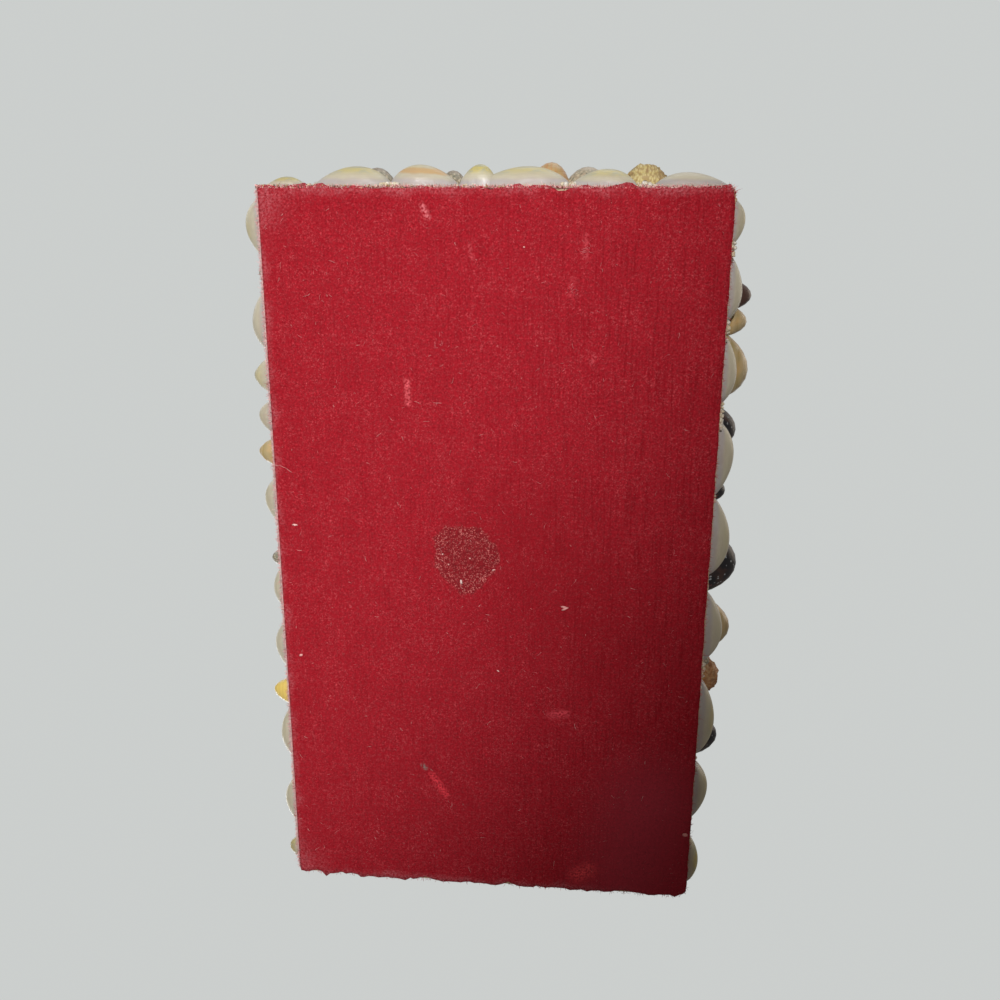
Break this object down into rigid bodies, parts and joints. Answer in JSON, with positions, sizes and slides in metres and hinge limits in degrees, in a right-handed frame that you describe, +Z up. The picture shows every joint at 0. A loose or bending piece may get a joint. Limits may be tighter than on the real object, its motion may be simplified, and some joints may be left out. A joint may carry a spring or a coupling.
{
  "type": "shell box",
  "caption": "Rectangular keepsake box with lift-off lid, its sides and lid covered in sea shells set in sandy glue, with red felt underneath and inside.",
  "frame": {"origin": "centre of the box's underside, on the felt", "axes": "+Z up through the lid, +Y along the length towards the back wall, +X across to the right wall"},
  "size_m": [0.1492, 0.2402, 0.0653],
  "materials": {
    "red_felt": "matte flocked felt",
    "brown_board": "raw brown board",
    "shells_in_sandy_glue": "mixed shells in sandy glue",
    "glossy_shell": "glossy porcelain-like shell",
    "scallop_shell": "ribbed satin shell"
  },
  "bodies": {
    "root": {"back_base_shell_1": "glossy_shell", "back_base_shell_2": "glossy_shell", "back_base_shell_3": "glossy_shell", "back_base_shell_4": "glossy_shell", "back_base_shell_5": "glossy_shell", "back_base_shell_6": "glossy_shell", "back_base_shell_7": "glossy_shell", "back_lining": "red_felt", "back_shell_bed": "shells_in_sandy_glue", "back_wall": "brown_board", "base_felt": "red_felt", "bottom_board": "brown_board", "floor_lining": "red_felt", "front_base_shell_1": "glossy_shell", "front_base_shell_2": "glossy_shell", "front_base_shell_3": "glossy_shell", "front_base_shell_4": "glossy_shell", "front_base_shell_5": "glossy_shell", "front_base_shell_6": "glossy_shell", "front_lining": "red_felt", "front_shell_bed": "shells_in_sandy_glue", "front_wall": "brown_board", "left_base_shell_1": "glossy_shell", "left_base_shell_2": "glossy_shell", "left_base_shell_3": "glossy_shell", "left_base_shell_4": "glossy_shell", "left_base_shell_5": "glossy_shell", "left_base_shell_6": "glossy_shell", "left_base_shell_7": "glossy_shell", "left_base_shell_8": "glossy_shell", "left_base_shell_9": "glossy_shell", "left_lining": "red_felt", "left_shell_bed": "shells_in_sandy_glue", "left_wall": "brown_board", "lid_back_strip": "brown_board", "lid_board": "brown_board", "lid_front_strip": "brown_board", "lid_left_strip": "brown_board", "lid_lining": "red_felt", "lid_right_strip": "brown_board", "lid_scallop": "scallop_shell", "lid_shell_bed": "shells_in_sandy_glue", "right_base_shell_1": "glossy_shell", "right_base_shell_10": "glossy_shell", "right_base_shell_11": "glossy_shell", "right_base_shell_12": "glossy_shell", "right_base_shell_2": "glossy_shell", "right_base_shell_3": "glossy_shell", "right_base_shell_4": "glossy_shell", "right_base_shell_5": "glossy_shell", "right_base_shell_6": "glossy_shell", "right_base_shell_7": "glossy_shell", "right_base_shell_8": "glossy_shell", "right_base_shell_9": "glossy_shell", "right_lining": "red_felt", "right_shell_bed": "shells_in_sandy_glue", "right_wall": "brown_board"}
  },
  "joints": []
}
